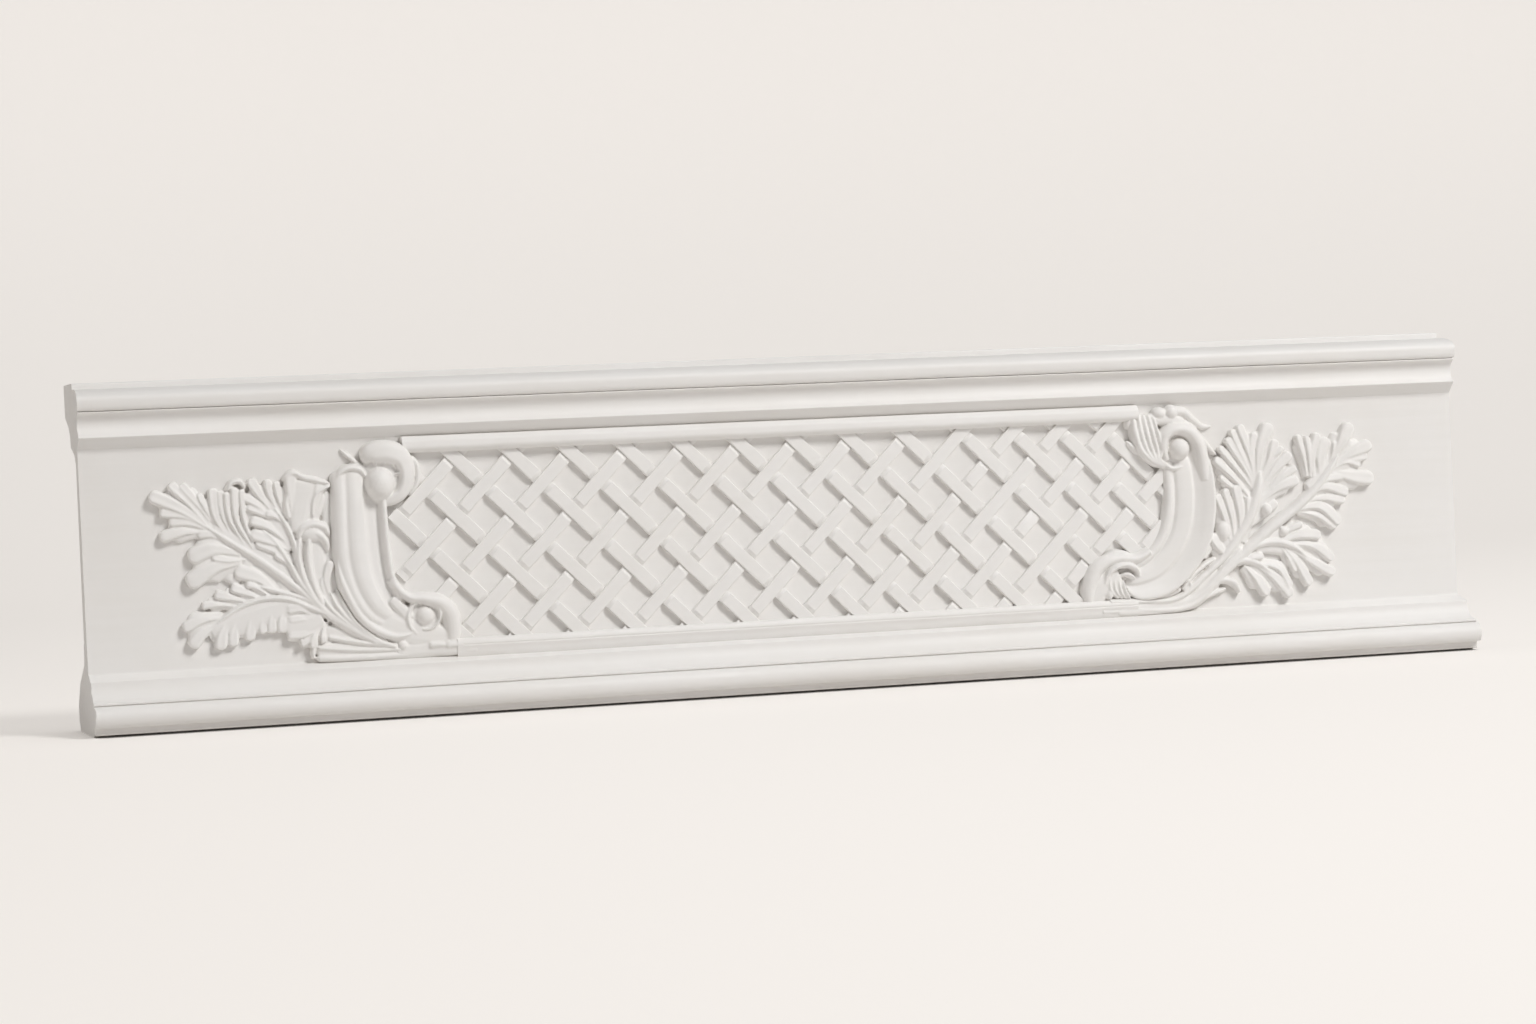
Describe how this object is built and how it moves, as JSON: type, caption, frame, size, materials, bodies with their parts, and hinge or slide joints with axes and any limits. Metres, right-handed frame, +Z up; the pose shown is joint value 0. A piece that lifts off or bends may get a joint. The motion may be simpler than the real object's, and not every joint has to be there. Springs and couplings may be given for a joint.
{
  "type": "cornice moulding section",
  "caption": "Cast length of enriched cornice frieze: ovolo and cavetto above, ledge, scotia and torus below, and a field with woven lattice, C-scrolls and leaf sprays.",
  "frame": {"origin": "centre of the length and depth, at the underside of the plinth", "axes": "+X along the length, the carved front faces -Y, +Z up"},
  "size_m": [1.2, 0.1204, 0.28],
  "materials": {
    "white_plaster": "matte"
  },
  "bodies": {
    "root": {"cornice_section": "white_plaster"}
  },
  "joints": []
}
